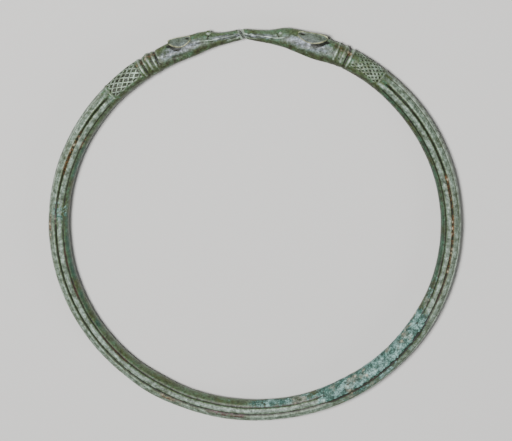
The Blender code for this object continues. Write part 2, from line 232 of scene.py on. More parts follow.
# Layers of the finer relief: how much weaker and how much finer each gets, and how many
SKIN_LAYERS = (0.8, 2.0, 3)
CRUST_HEIGHT = 0.00013
# The crust's outer edge: angle where it starts, and over how many degrees it thickens
CRUST_EDGE = (58.0, 30.0)
PIT_SPACING = 0.0022
PIT_DEPTH = 0.00012
PIT_REACH = 0.28
# The share of the spots for pits that have one, and what shuffles them
PIT_SHARE = 0.35
PIT_SHUFFLE = 7.3

# How finely the skin follows its shape: columns across each groove and each ridge of one face,
# then rows of each stretch, doubled with the columns on the terminals
GROOVE_COLUMNS = (4, 6, 4)
RIDGE_COLUMNS = (4, 4, 4, 5)
HALF_COLUMNS = sum(GROOVE_COLUMNS) + sum(RIDGE_COLUMNS)
HEAD_ROWS = 66
COLLAR_ROWS = 20
NET_ROWS = 36
END_RING_ROWS = 9
HOOP_ROWS = 450
EAR_SEGMENTS = 28
EAR_ROWS = 20
# How much of a row a vertex may lie past a terminal and still count as on it
ROW_SLACK = 0.1
# Decimals of distances along the bar, so that points of one row share their section's sizes
ROW_DECIMALS = 7
UNROLL_DECIMALS = 5

RING_LENGTH = 2 * math.pi * RING_RADIUS
HALF_WIDTH = BAR_WIDTH / 2
NOSE = NECK_GAP / 2
HEAD_END = NOSE + HEAD_LENGTH
COLLAR_END = HEAD_END + COLLAR_LENGTH
CENTRE_HEIGHT = BAR_THICKNESS / 2 - WORN_FLAT_DEPTH
NOSE_INSET = 0.0002
SEAM_MERGE = 0.000001
SHARP_ANGLE = 55.0

TERMINAL_ROWS = HEAD_ROWS + COLLAR_ROWS + NET_ROWS + END_RING_ROWS
ALL_ROWS = 2 * TERMINAL_ROWS + HOOP_ROWS


def bell(distance, reach):
    """A smooth hump: 1 in its middle, 0 at its reach and beyond."""
    share = min(abs(distance) / reach, 1.0)
    return 0.5 + 0.5 * math.cos(math.pi * share)


def ease(share):
    """A smooth step from 0 to 1."""
    share = min(max(share, 0.0), 1.0)
    return share * share * (3 - 2 * share)


def mix(low, high, share):
    return low + (high - low) * share


def slope(rows, index, column):
    before = rows[max(index - 1, 0)]
    after = rows[min(index + 1, len(rows) - 1)]
    return (after[column] - before[column]) / (after[0] - before[0])


def read_smoothly(rows, place):
    """The values at a place, on smooth curves through the rows of a table."""
    index = 0
    while index < len(rows) - 2 and place > rows[index + 1][0]:
        index += 1
    span = rows[index + 1][0] - rows[index][0]
    share = min(max((place - rows[index][0]) / span, 0.0), 1.0)
    values = []
    for column in range(1, len(rows[0])):
        start = rows[index][column]
        end = rows[index + 1][column]
        start_slope = slope(rows, index, column) * span
        end_slope = slope(rows, index + 1, column) * span
        cubic = 2 * start - 2 * end + start_slope + end_slope
        square = 3 * end - 3 * start - 2 * start_slope - end_slope
        values.append(((cubic * share + square) * share + start_slope) * share + start)
    return values


def terminal_place(along):
    """Distance from the gap, and 1 on the right terminal's side or -1 on the left's."""
    if along < RING_LENGTH / 2:
        return along, 1
    return RING_LENGTH - along, -1


def on_side(place, side):
    """The distance round the ring of a place on one terminal."""
    return place if side > 0 else RING_LENGTH - place


def net_end(side):
    """How far from the gap the net of one side ends."""
    return COLLAR_END + (RIGHT_NET_LENGTH if side > 0 else LEFT_NET_LENGTH)


def hoop_start(side):
    """How far from the gap the hoop starts on one side, behind the ring that ends the net."""
    return net_end(side) + END_RING_LENGTH


def flutes_start(side):
    """How far from the gap the hoop's grooves have their full depth on one side."""
    return hoop_start(side) + GROOVE_RUN_IN


def direction(along):
    """Where a distance round the ring lies, as an angle from +X."""
    return math.pi / 2 - along / RING_RADIUS


def compass(along):
    """The same direction in degrees from 0 to 360."""
    return math.degrees(direction(along)) % 360


def ring_radius(turn):
    return RING_RADIUS + OUT_OF_ROUND * math.cos(2 * (turn - math.radians(LONG_AXIS_ANGLE)))


def ring_point(along, outward, height):
    """The place of a point given by its distance round the ring and its place in the section."""
    slant = GAP_SLANT * bell(terminal_place(along)[0], GAP_SLANT_REACH)
    turn = direction(along - slant * outward)
    radius = ring_radius(turn) + outward
    return Vector((radius * math.cos(turn), radius * math.sin(turn), CENTRE_HEIGHT + height))


@lru_cache(maxsize=None)
def section_sizes(along):
    """How far the section reaches outwards, inwards, and up or down."""
    place, side = terminal_place(along)
    head_share = (place - NOSE) / HEAD_LENGTH
    crown, jaw, rise = [share * HALF_WIDTH for share in read_smoothly(HEAD_SECTIONS, head_share)]
    net_crown, net_jaw, net_rise = [share * HALF_WIDTH for share in NET_SECTION]
    hoop = BAR_WIDTH
    for middle, reach, extra in WIDE_PLACES:
        hoop += extra * bell(compass(along) - middle, reach)
    to_net = ease((place - HEAD_END) / HEAD_FORM_FADE)
    to_hoop = ease((place - COLLAR_END) / (hoop_start(side) - COLLAR_END))
    crown = mix(mix(crown, net_crown, to_net), hoop / 2, to_hoop)
    jaw = mix(mix(jaw, net_jaw, to_net), hoop / 2, to_hoop)
    rise = mix(mix(rise, net_rise, to_net), BAR_THICKNESS / 2, to_hoop)
    if side > 0:
        jaw += RIGHT_THROAT[2] * bell(head_share - RIGHT_THROAT[0], RIGHT_THROAT[1])
    else:
        crown += LEFT_BROW[2] * bell(head_share - LEFT_BROW[0], LEFT_BROW[1])
    return crown, jaw, rise


def head_roll(along):
    """How far the section is turned on the bar, fully on the head and not at all past the collar."""
    place, side = terminal_place(along)
    roll = math.radians(RIGHT_ROLL if side > 0 else LEFT_ROLL)
    return roll * (1 - ease((place - HEAD_END) / COLLAR_LENGTH))


def line_height(head_share, angle, line):
    """Height of a line carved on a head: that of its nearest point, and less beside it."""
    half_width, *points = line
    nearest = half_width
    height = 0.0
    for start, end in zip(points, points[1:]):
        run = (end[0] - start[0]) * HEAD_LENGTH
        climb = math.radians(end[1] - start[1]) * HALF_WIDTH
        across = (head_share - start[0]) * HEAD_LENGTH
        around = math.radians(angle - start[1]) * HALF_WIDTH
        share = min(max((across * run + around * climb) / (run * run + climb * climb), 0.0), 1.0)
        distance = math.hypot(across - share * run, around - share * climb)
        if distance < nearest:
            nearest = distance
            height = mix(start[2], end[2], share)
    return height * bell(nearest, half_width)


def net_height(place, side, angle):
    """Depth of the net's cells, which stand on their corners between its raised lines."""
    if not COLLAR_END <= place <= net_end(side) or angle > NET_EDGE_ANGLE:
        return 0.0
    length = net_end(side) - COLLAR_END
    half_along, half_around, line, worn = RIGHT_NET if side > 0 else LEFT_NET
    rows = round(length / half_along)
    columns = round(math.radians(NET_EDGE_ANGLE) * HALF_WIDTH / half_around)
    across = (place - COLLAR_END) / length * rows
    around = angle / NET_EDGE_ANGLE * columns
    spacing = 2 * half_along * half_around / math.hypot(half_along, half_around)
    one_way = abs((across + around) / 2 % 1 - 0.5)
    other_way = abs((across - around) / 2 % 1 - 0.5)
    from_line = (0.5 - max(one_way, other_way)) * spacing
    wear_end, wear_fade, wear_angle, wear_reach = NET_WEAR
    wear = (1 - ease((across / rows - wear_end) / wear_fade)) * bell(angle - wear_angle, wear_reach)
    return -NET_DEPTH * (1 - worn * wear) * ease((from_line - line) / NET_WALL)


@lru_cache(maxsize=None)
def groove_fill(along):
    """The share of the innermost groove that corrosion has filled."""
    fill = 0.0
    here = compass(along)
    for start, end, lost in FILLED_STRETCHES:
        fill += lost * ease((here - start) / FILLED_FADE) * ease((end - here) / FILLED_FADE)
    return fill


def hoop_height(along, angle):
    """Depth of the hoop's grooves, which waver a little as a hand-finished casting does."""
    place, side = terminal_place(along)
    run_in = ease((place - hoop_start(side)) / GROOVE_RUN_IN)
    if not run_in:
        return 0.0
    sway = noise.noise(Vector((along / GROOVE_WAVER_LENGTH, angle / GROOVE_WAVER_SPREAD, 0)))
    height = 0.0
    for middle, spread, depth in GROOVES:
        left = run_in * (1 - groove_fill(along) * middle / INNER_GROOVE[0])
        height -= left * depth * bell(angle + GROOVE_WAVER * sway - middle, spread)
    return height


def carved_height(along, angle):
    """How far the carving raises the surface above the plain section."""
    place, side = terminal_place(along)
    angle = abs(angle)
    if place > flutes_start(side):
        return hoop_height(along, angle)
    head_share = (place - NOSE) / HEAD_LENGTH
    height = hoop_height(along, angle) + net_height(place, side, angle)
    for share, middle, reach, spread, rise in CARVINGS:
        height += rise * bell(head_share - share, reach) * bell(angle - middle, spread)
    for line in LINES + (RIGHT_LINES if side > 0 else LEFT_LINES):
        height += line_height(head_share, angle, line)
    fade_start, fade_length, lost = BEAD_FADE
    plain_inside = 1 - lost * ease((angle - fade_start) / fade_length)
    for share, reach, rise in (RIGHT_BEADS if side > 0 else LEFT_BEADS):
        height += plain_inside * rise * bell(place - HEAD_END - share * COLLAR_LENGTH, reach)
    ring_middle = net_end(side) + END_RING_LENGTH / 2
    height += plain_inside * END_RING_HEIGHT * bell(place - ring_middle, END_RING_LENGTH / 2)
    return height


def crust_share(along, angle):
    """How thickly the turquoise crust lies, from 0 to 1."""
    start, width = CRUST_EDGE
    return groove_fill(along) * ease((abs(angle) - start) / width)


def skin_height(along, angle, spot):
    """Height of the corroded skin over the carved form, at a spot of the plain bar."""
    crust = crust_share(along, angle)
    height = SWELL_HEIGHT * noise.noise(spot / SWELL_SIZE)
    grain = noise.fractal(spot / SKIN_SIZE, *SKIN_LAYERS)
    height += mix(SKIN_HEIGHT, CRUST_HEIGHT, crust) * grain
    distances, centres = noise.voronoi(spot / PIT_SPACING)
    if noise.cell(centres[0] * PIT_SHUFFLE) < PIT_SHARE:
        height -= PIT_DEPTH * (1 + crust) * bell(distances[0], PIT_REACH)
    return height


def section_point(along, angle, extra=0.0):
    """The surface of the bar at an angle round its section, raised by an extra height."""
    crown, jaw, rise = section_sizes(along)
    turn = math.radians(angle)
    raised = carved_height(along, angle) + extra
    outward = ((crown if abs(angle) < 90 else jaw) + raised) * math.cos(turn)
    height = (rise + raised) * math.sin(turn)
    roll = head_roll(along)
    rolled_outward = outward * math.cos(roll) + height * math.sin(roll)
    rolled_height = height * math.cos(roll) - outward * math.sin(roll)
    return ring_point(along, rolled_outward, max(rolled_height, -CENTRE_HEIGHT))


def fluted_angles():
    """Columns that follow the edges of the hoop's grooves, as angles from 0 to 180."""
    edges = [0.0]
    for middle, spread, _ in GROOVES:
        edges += [middle - spread, middle + spread]
    edges.append(180.0)
    counts = []
    for ridge, groove in zip(RIDGE_COLUMNS, GROOVE_COLUMNS):
        counts += [ridge, groove]
    counts.append(RIDGE_COLUMNS[-1])
    angles = [0.0]
    for start, end, count in zip(edges, edges[1:], counts):
        angles += [mix(start, end, step / count) for step in range(1, count + 1)]
    return angles


FLUTED_ANGLES = fluted_angles()


def column_angle(even_angle, along):
    """Moves evenly spaced columns to where the hoop's grooves need them."""
    place, side = terminal_place(along)
    column = abs(even_angle) / 180 * HALF_COLUMNS
    index = min(int(column), HALF_COLUMNS - 1)
    fluted = mix(FLUTED_ANGLES[index], FLUTED_ANGLES[index + 1], column - index)
    share = ease((place - net_end(side)) / (flutes_start(side) - net_end(side)))
    return math.copysign(mix(abs(even_angle), fluted, share), even_angle)


def stretches(side):
    """The parts of one terminal from the nose backwards: where each starts, and its rows."""
    return (
        (NOSE, HEAD_ROWS),
        (HEAD_END, COLLAR_ROWS),
        (COLLAR_END, NET_ROWS),
        (net_end(side), END_RING_ROWS),
        (flutes_start(side), HOOP_ROWS / 2),
        (RING_LENGTH / 2, 0),
    )


def place_in_rows(row):
    """The distance round the ring at a row, counted from the right nose."""
    side = 1 if row <= ALL_ROWS / 2 else -1
    left = row if side > 0 else ALL_ROWS - row
    parts = stretches(side)
    for (start, rows), (end, _) in zip(parts, parts[1:]):
        if left <= rows:
            return on_side(mix(start, end, left / rows), side)
        left -= rows
    return RING_LENGTH / 2


def lay_out_sheet():
    """The bar's skin as a flat sheet, one column for each line along it, with twice the rows and
    columns on the terminals."""
    bm = bmesh.new()
    bmesh.ops.create_grid(bm, x_segments=ALL_ROWS, y_segments=2 * HALF_COLUMNS, size=0.5)
    fine = [
        edge for edge in bm.edges
        if all((0.5 - abs(end.co.x)) * ALL_ROWS < TERMINAL_ROWS + ROW_SLACK for end in edge.verts)
    ]
    bmesh.ops.subdivide_edges(bm, edges=fine, cuts=1, use_grid_fill=True)
    return bm


def wrap_sheet(bm):
    """Wraps the sheet round the ring, onto the carved and corroded surface, and closes its seam."""
    for vertex in bm.verts:
        along = round(place_in_rows((vertex.co.x + 0.5) * ALL_ROWS), ROW_DECIMALS)
        even_angle = 360 * vertex.co.y
        turn = math.radians(even_angle)
        spot = ring_point(along, HALF_WIDTH * math.cos(turn), HALF_WIDTH * math.sin(turn))
        angle = column_angle(even_angle, along)
        vertex.co = section_point(along, angle, skin_height(along, angle, spot))
    bmesh.ops.remove_doubles(bm, verts=bm.verts, dist=SEAM_MERGE)


def close_noses(bm):
    """Closes both ends of the bar with a small flat face each."""
    rims = [edge for edge in bm.edges if edge.is_boundary]
    noses = bmesh.ops.holes_fill(bm, edges=rims, sides=0)["faces"]
    bmesh.ops.inset_individual(bm, faces=noses, thickness=NOSE_INSET)
    bmesh.ops.poke(bm, faces=noses)


def make_bar():
    bm = lay_out_sheet()
    wrap_sheet(bm)
    close_noses(bm)
    bmesh.ops.recalc_face_normals(bm, faces=bm.faces)
    return new_piece("torc_bronze", bm)


def new_piece(name, bm):
    mesh = bpy.data.meshes.new(name)
    bm.to_mesh(mesh)
    bm.free()
    piece = bpy.data.objects.new(name, mesh)
    bpy.context.scene.collection.objects.link(piece)
    return piece


def ear_frame(side, share):
    """Angle of an ear's middle line at a share of its length, and how many degrees it reaches
    to each side."""
    fullness = max(math.sin(math.pi * share ** EAR_FULLEST), 0.0) ** EAR_ROUNDNESS
    middle = EAR_FRONT_ANGLE + EAR_SWING * math.sin(math.pi * share) - EAR_TURN_BACK * share ** 2
    return middle, math.degrees(EAR_WIDTH / 2 * fullness / HALF_WIDTH)


def ear_heights(share):
    """Heights over the bar of an ear's under side and of its outer one, without the rim."""
    lift = ease((share - EAR_ROOT_END) / (1 - EAR_ROOT_END))
    under = mix(-EAR_ROOT_DEPTH, EAR_TIP_HEIGHT - EAR_THICKNESS, lift)
    return under, mix(EAR_FRONT_HEIGHT, EAR_TIP_HEIGHT, ease(share))


def ear_point(side, level, share, across, outer):
    """A point of an ear: share of its length, place across it from -1 to 1, and how far it is
    from the under side, 0, to the outer one, 1."""
    start = NOSE + (RIGHT_EAR_PLACE if side > 0 else LEFT_EAR_PLACE) * HEAD_LENGTH
    length = RIGHT_EAR_LENGTH if side > 0 else LEFT_EAR_LENGTH
    along = on_side(start + share * length, side)
    middle, reach = ear_frame(side, share)
    angle = middle + across * reach
    under, top = ear_heights(share)
    top += EAR_RIM_HEIGHT * bell(abs(across) - EAR_RIM_PLACE, EAR_RIM_REACH)
    top -= EAR_DISH * bell(across, EAR_RIM_PLACE) * math.sin(math.pi * share)
    pit_share, pit_across, reach, spread, depth = EAR_PIT
    top -= depth * bell(share - pit_share, reach) * bell(across - pit_across, spread)
    return section_point(along, level * angle, mix(under, top, outer))


def make_ear(side, level):
    """A leaf-shaped ear with a raised rim, pressed out of a ball whose poles are its two ends."""
    bm = bmesh.new()
    bmesh.ops.create_uvsphere(bm, u_segments=EAR_SEGMENTS, v_segments=EAR_ROWS, radius=1.0)
    for vertex in bm.verts:
        width = math.hypot(vertex.co.x, vertex.co.y)
        across = vertex.co.x / width if width > EAR_POLE_WIDTH else 0.0
        rise = vertex.co.y / width if width > EAR_POLE_WIDTH else 0.0
        share = 0.5 - 0.5 * vertex.co.z
        outer = ease(0.5 + EAR_WALL_STEEPNESS * rise)
        vertex.co = ear_point(side, level, share, across, outer)
    bmesh.ops.recalc_face_normals(bm, faces=bm.faces)
    return new_piece("ear", bm)


def make_eye(side, level):
    """A small bulging eye, sunk into the side of the head."""
    place = RIGHT_EYE_PLACE if side > 0 else LEFT_EYE_PLACE
    along = on_side(NOSE + place * HEAD_LENGTH, side)
    angle = RIGHT_EYE_ANGLE if side > 0 else LEFT_EYE_ANGLE
    radius = RIGHT_EYE_RADIUS if side > 0 else LEFT_EYE_RADIUS
    bm = bmesh.new()
    bmesh.ops.create_icosphere(bm, subdivisions=EYE_SUBDIVISIONS, radius=radius)
    bmesh.ops.translate(bm, vec=section_point(along, level * angle, -EYE_SINK), verts=bm.verts)
    return new_piece("eye", bm)


def cast_together(torc, additions):
    """Makes the additions one skin with the bar."""
    bm = bmesh.new()
    for addition in additions:
        bm.from_mesh(addition.data)
        bpy.data.objects.remove(addition)
    added = new_piece("additions", bm)
    union = torc.modifiers.new("cast_together", "BOOLEAN")
    union.operation = "UNION"
    union.solver = "EXACT"
    union.object = added
    cast = torc.evaluated_get(bpy.context.evaluated_depsgraph_get())
    mesh = bpy.data.meshes.new_from_object(cast)
    torc.modifiers.clear()
    torc.data = mesh
    bpy.data.objects.remove(added)


def hollowness(mesh, rounds):
    """How far each vertex lies below the middle of the skin around it."""
    count = len(mesh.vertices)
    points = np.empty(count * 3)
    normals = np.empty(count * 3)
    ends = np.empty(len(mesh.edges) * 2, dtype=int)
    mesh.vertices.foreach_get("co", points)
    mesh.vertices.foreach_get("normal", normals)
    mesh.edges.foreach_get("vertices", ends)
    points = points.reshape(-1, 3)
    normals = normals.reshape(-1, 3)
    near, far = ends.reshape(-1, 2).T
    neighbours = np.bincount(ends, minlength=count)
    smooth = points
    for _ in range(rounds):
        columns = []
        for axis in range(3):
            total = np.bincount(near, weights=smooth[far, axis], minlength=count)
            total += np.bincount(far, weights=smooth[near, axis], minlength=count)
            columns.append(total / neighbours)
        smooth = np.stack(columns, axis=1)
    return ((smooth - points) * normals).sum(axis=1)


def unroll(point):
    """Distance round the ring, angle round the section and height over the plain bar of a point
    of the finished skin."""
    turn = math.atan2(point.y, point.x)
    along = round((math.pi / 2 - turn) % (2 * math.pi) * RING_RADIUS, UNROLL_DECIMALS)
    outward = math.hypot(point.x, point.y) - ring_radius(turn)
    height = point.z - CENTRE_HEIGHT
    roll = head_roll(along)
    plain_outward = outward * math.cos(roll) - height * math.sin(roll)
    plain_height = height * math.cos(roll) + outward * math.sin(roll)
    crown, jaw, rise = section_sizes(along)
    reach = crown if plain_outward > 0 else jaw
    raised = 0.0
    for _ in range(UNROLL_ROUNDS):
        turn = math.atan2(plain_height / (rise + raised), plain_outward / (reach + raised))
        cosine = math.cos(turn)
        sine = math.sin(turn)
        raised = (plain_outward - reach * cosine) * cosine + (plain_height - rise * sine) * sine
    return along, math.degrees(turn), raised


# Rounds of evening out that show what lies hollow: on the terminals, whose mesh is finer, and on
# the hoop
TERMINAL_ROUNDS = 8
HOOP_ROUNDS = 2
# Rounds that find how far a point of the skin is raised
UNROLL_ROUNDS = 3
MILLIMETRES_IN_A_METRE = 1000

# Corrosion that lies in places: directions where a patch starts and ends, middle and half width
# of the patch round the section, strength
PATCHES = {
    "crust": (
        (284.0, 334.0, 132.0, 86.0, 1.0),
        (290.0, 318.0, 60.0, 40.0, 0.45),
        (322.0, 345.0, 140.0, 40.0, 0.35),
        (262.0, 290.0, 150.0, 46.0, 0.55),
        (166.0, 180.0, 100.0, 80.0, 0.35),
    ),
    "rust": (
        (6.5, 15.0, 79.0, 15.0, 1.0),
        (353.0, 7.5, 79.0, 14.0, 1.0),
        (340.0, 356.0, 79.0, 14.0, 0.6),
        (238.0, 246.0, 66.0, 14.0, 0.9),
        (146.0, 162.0, 79.0, 15.0, 0.9),
        (173.0, 182.0, 40.0, 22.0, 0.9),
        (147.0, 153.0, 119.0, 12.0, 0.8),
    ),
    "maroon": (
        (252.0, 265.0, 70.0, 15.0, 1.0),
        (213.0, 226.0, 119.0, 10.0, 0.8),
        (193.0, 201.0, 119.0, 14.0, 0.9),
        (183.0, 192.0, 119.0, 9.0, 0.9),
        (34.0, 50.0, 165.0, 16.0, 0.9),
        (334.0, 341.0, 79.0, 10.0, 0.6),
    ),
    "teal": (
        (150.0, 212.0, 150.0, 26.0, 0.9),
        (335.0, 20.0, 150.0, 30.0, 0.6),
        (20.0, 48.0, 130.0, 30.0, 0.5),
    ),
}
# Where the hoop's side that faces the neck is brown, patina and painted shade, in the same terms
BROWN_AND_SHADE_INSIDE = (
    (330.0, 62.0, 150.0, 50.0, 1.0),
    (56.0, 336.0, 150.0, 50.0, 0.5),
)
# Over how many degrees of the ring a patch fades at its ends: a small one, and the crust or the
# brown side
PATCH_FADE = 1.6
WIDE_FADE = 7.0
# Height of the hump of a patch's strength across it, which is cut off at 1
PATCH_FULLNESS = 1.6

# The side that faces the neck, painted darker with olive brown patina and painted shade: angle where
# it starts and over how many degrees, on the hoop and on the terminals, and how much less crests show
# there on the hoop
HOOP_NECK_SIDE = (110.0, 8.0)
TERMINAL_NECK_SIDE = (108.0, 26.0)
NECK_SIDE_CALM = 0.8
# The hoop's pale ridges, worn and partly a painted highlight: angle, half width, strength
PALE_RIDGES = ((101.0, 14.0, 1.0), (56.0, 15.0, 0.75), (23.0, 11.0, 1.0))
# Lilac grey of a head, patina with painted highlights along its top: share of its length, reach as a
# share, angle, reach round, fullness
LILAC_PLACES = ((0.72, 0.42, 92.0, 40.0, 1.5), (0.14, 0.32, 90.0, 30.0, 1.6))
# How pale the crests of the heads are beside those of the hoop; the pale of a crest is wear and a
# painted highlight
HEAD_CREST_SHARE = 0.75
# Brown stain on the outer ends of the collars' beads: angle, half width, strength
COLLAR_STAIN = (50.0, 24.0, 0.75)
# Dirt and painted shade that count as a hollow, in millimetres: all along the wide groove, then
# where the crust has nearly filled it with its angle and half width, and in the pit of an ear
GROOVE_DIRT_AND_SHADE = 0.045
CRUST_GROOVE_DIRT_AND_SHADE = (73.0, 6.0, 0.13)
EAR_PIT_DIRT_AND_SHADE = 0.16

# Painted shadow under the lower edge of an ear: its width at the tip in millimetres, and the
# shares of the ear's length where it starts and over which it widens
EAR_SHADOW_WIDTH = 1.30
EAR_SHADOW_START = 0.35
EAR_SHADOW_RUN = 0.45
# The shaded foot of an ear: how far outside its edge it counts as, and its share of the height
EAR_FOOT_OUTSIDE = 0.0004
EAR_FOOT_SHARE = 0.30
# Past this the distance to an ear no longer counts
FAR_FROM_EAR = 0.0020
# Crests and grooves aren't coloured on an ear: how far outside its edge that ends, and over what
# distance, both in millimetres
EAR_CALM_END = 0.7
EAR_CALM_FADE = 0.3
# A painted highlight on each eye: how hollow it counts as in millimetres, below 0 to paint it pale as a
# crest, and how far round its middle
RIGHT_EYE_PAINTED_GLINT = (-0.14, 0.0008)
LEFT_EYE_PAINTED_GLINT = (-0.03, 0.0016)
EYE_FULLNESS = 2.0


def patch_share(patches, here, angle, fade):
    """How strongly the patches of one kind of corrosion colour a place, from 0 to 1."""
    share = 0.0
    for start, end, middle, spread, strength in patches:
        length = (end - start) % 360
        into = (here - start) % 360
        inside = ease(into / fade) * ease((length - into) / fade)
        share = max(share, strength * inside * min(PATCH_FULLNESS * bell(angle - middle, spread), 1.0))
    return share


def ear_marks(place, side, angle, raised):
    """How far in millimetres a place lies outside the edge of an ear, less than 0 inside it, how
    wide the painted shadow under the ear's free lower edge is there, and how much it lies in the ear's
    pit."""
    start = NOSE + (RIGHT_EAR_PLACE if side > 0 else LEFT_EAR_PLACE) * HEAD_LENGTH
    length = RIGHT_EAR_LENGTH if side > 0 else LEFT_EAR_LENGTH
    share = (place - start) / length
    on_ear = min(max(share, 0.0), 1.0)
    middle, reach = ear_frame(side, on_ear)
    outside = math.radians(abs(angle - middle) - reach) * HALF_WIDTH
    if share != on_ear:
        outside = math.hypot(outside, (share - on_ear) * length)
    under, top = ear_heights(on_ear)
    # Low places at the foot of an ear's wall count as just outside its edge, in the band of painted
    # shadow
    if outside < EAR_FOOT_OUTSIDE and raised < mix(max(under, 0.0), top, EAR_FOOT_SHARE):
        outside = EAR_FOOT_OUTSIDE
    # Width of the painted shadow under the ear's free lower edge
    darkening = EAR_SHADOW_WIDTH * ease((share - EAR_SHADOW_START) / EAR_SHADOW_RUN) if angle > middle else 0.0
    pit_share, pit_across, pit_reach, pit_spread, _ = EAR_PIT
    across = (angle - middle) / max(reach, 1.0)
    pit = bell(share - pit_share, pit_reach) * bell(across - pit_across, pit_spread)
    return min(outside, FAR_FROM_EAR) * MILLIMETRES_IN_A_METRE, darkening, pit


def painted_eye_glint(place, side, angle):
    """How hollow the eye of one side counts as, which paints a highlight on it, and how much a place
    belongs to it.
    """
    eye_place = RIGHT_EYE_PLACE if side > 0 else LEFT_EYE_PLACE
    eye_angle = RIGHT_EYE_ANGLE if side > 0 else LEFT_EYE_ANGLE
    away = place - NOSE - eye_place * HEAD_LENGTH
    around = math.radians(angle - eye_angle) * HALF_WIDTH
    glint, reach = RIGHT_EYE_PAINTED_GLINT if side > 0 else LEFT_EYE_PAINTED_GLINT
    return glint, min(EYE_FULLNESS * bell(math.hypot(away, around), reach), 1.0)


def on_neck_side(angle, neck_side):
    """How much an angle belongs to the side that faces the neck, from 0 to 1."""
    start, fade = neck_side
    return ease((angle - start) / fade)


def hollow_at(along, angle, form, outside_ear, ear_pit):
    """How hollow a place counts as in millimetres: its form, less where crests don't show, the
    painted highlight of an eye, and the dirt and painted shade that fill it."""
    place, side = terminal_place(along)
    on_hoop = ease((place - net_end(side)) / END_RING_LENGTH)
    hollow = form
    if hollow < 0 and place < HEAD_END:
        hollow *= HEAD_CREST_SHARE
    hollow = mix(hollow, 0.0, ease((EAR_CALM_END - outside_ear) / EAR_CALM_FADE))
    # The ear's pit gets dirt and painted shade
    # The eye gets a painted highlight by counting as a crest
    hollow = mix(hollow + EAR_PIT_DIRT_AND_SHADE * ear_pit, *painted_eye_glint(place, side, angle))
    calm = NECK_SIDE_CALM * on_hoop * on_neck_side(angle, HOOP_NECK_SIDE)
    hollow = mix(hollow, max(hollow, 0.0), calm)
    # Dark lines of dirt and painted shade: where the crust has nearly filled the wide groove, and all
    # along it
    darkening_angle, darkening_reach, darkening = CRUST_GROOVE_DIRT_AND_SHADE
    hollow += darkening * on_hoop * groove_fill(along) * bell(angle - darkening_angle, darkening_reach)
    return hollow + GROOVE_DIRT_AND_SHADE * on_hoop * bell(angle - WIDE_GROOVE[0], WIDE_GROOVE[1])


def marks_at(along, angle, raised, form):
    """How hollow a place of the skin lies and what covers it, by the names of the marks."""
    place, side = terminal_place(along)
    here = compass(along)
    head_share = (place - NOSE) / HEAD_LENGTH
    on_hoop = ease((place - net_end(side)) / END_RING_LENGTH)
    outside, shadow_width, pit = ear_marks(place, side, angle, raised)
    brown = patch_share(BROWN_AND_SHADE_INSIDE, here, angle, WIDE_FADE)
    brown *= on_hoop * on_neck_side(angle, HOOP_NECK_SIDE)
    marks = {
        "hollow": hollow_at(along, angle, form, outside, pit),
        "ear": outside,
        # Width of the painted shadow under an ear
        "ear_shadow": shadow_width,
        # The side that faces the neck, painted olive brown as patina and shade
        "neck_side": mix(on_neck_side(angle, TERMINAL_NECK_SIDE), brown, on_hoop),
        "ridge": on_hoop * max(pale * bell(angle - ridge, reach) for ridge, reach, pale in PALE_RIDGES),
        "lilac": 0.0,
    }
    for share, reach, middle, spread, fullness in LILAC_PLACES:
        lilac = fullness * bell(head_share - share, reach) * bell(angle - middle, spread)
        marks["lilac"] = max(marks["lilac"], min(lilac, 1.0))
    for name, patches in PATCHES.items():
        fade = WIDE_FADE if name == "crust" else PATCH_FADE
        marks[name] = patch_share(patches, here, angle, fade) if on_hoop else 0.0
    if HEAD_END < place < COLLAR_END:
        stain_angle, stain_reach, stain = COLLAR_STAIN
        marks["rust"] = stain * bell(angle - stain_angle, stain_reach)
    return marks


def record_corrosion(mesh):
    """Stores on each vertex how hollow it lies and what covers it."""
    terminal_form = hollowness(mesh, TERMINAL_ROUNDS) * MILLIMETRES_IN_A_METRE
    hoop_form = hollowness(mesh, HOOP_ROUNDS) * MILLIMETRES_IN_A_METRE
    marks = []
    for index, vertex in enumerate(mesh.vertices):
        along, angle, raised = unroll(vertex.co)
        place, side = terminal_place(along)
        on_hoop = ease((place - net_end(side)) / END_RING_LENGTH)
        form = mix(terminal_form[index], hoop_form[index], on_hoop)
        marks.append(marks_at(along, abs(angle), raised, form))
    for name in marks[0]:
        values = [mark[name] for mark in marks]
        mesh.attributes.new(name, "FLOAT", "POINT").data.foreach_set("value", values)


def centre_in_frame(mesh):
    """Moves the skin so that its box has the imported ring's middle."""
    low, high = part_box("torc")
    corners = np.array([vertex.co for vertex in mesh.vertices])
    middle = (corners.min(axis=0) + corners.max(axis=0)) / 2
    shift = Vector(((low[0] + high[0]) / 2 - middle[0], (low[1] + high[1]) / 2 - middle[1], 0))
    mesh.transform(Matrix.Translation(shift))


def put(tree, kind, inputs, **settings):
    """Adds a shader node. An input is a socket to link or a plain value."""
    node = tree.nodes.new("ShaderNode" + kind)
    for name, value in settings.items():
        setattr(node, name, value)
    for name, value in inputs.items():
        if isinstance(value, bpy.types.NodeSocket):
            tree.links.new(value, node.inputs[name])
        else:
            node.inputs[name].default_value = value
    return node


def mixed(tree, share, first, second, blend_type="MIX"):
    """Mixes two colours."""
    node = put(tree, "Mix", {0: share, 6: first, 7: second}, data_type="RGBA", blend_type=blend_type)
    return node.outputs[2]


def ramp(tree, value, low, high, start=0.0, end=1.0):
    """Stretches a range of a value to another range, and stops at its ends."""
    inputs = {"Value": value, "From Min": low, "From Max": high, "To Min": start, "To Max": end}
    return put(tree, "MapRange", inputs).outputs[0]


def times(tree, first, second):
    return put(tree, "Math", {0: first, 1: second}, operation="MULTIPLY").outputs[0]


def plus(tree, first, second):
    return put(tree, "Math", {0: first, 1: second}, operation="ADD").outputs[0]


def noise_of(tree, position, size, detail=3.0, roughness=0.6):
    """Cloudy noise with spots about as large as size."""
    inputs = {"Vector": position, "Scale": 1 / size, "Detail": detail, "Roughness": roughness}
    return put(tree, "TexNoise", inputs).outputs["Fac"]


def attribute(tree, name):
    return put(tree, "Attribute", {}, attribute_name=name).outputs["Fac"]


def colour(red, green, blue):
    return (red, green, blue, 1.0)


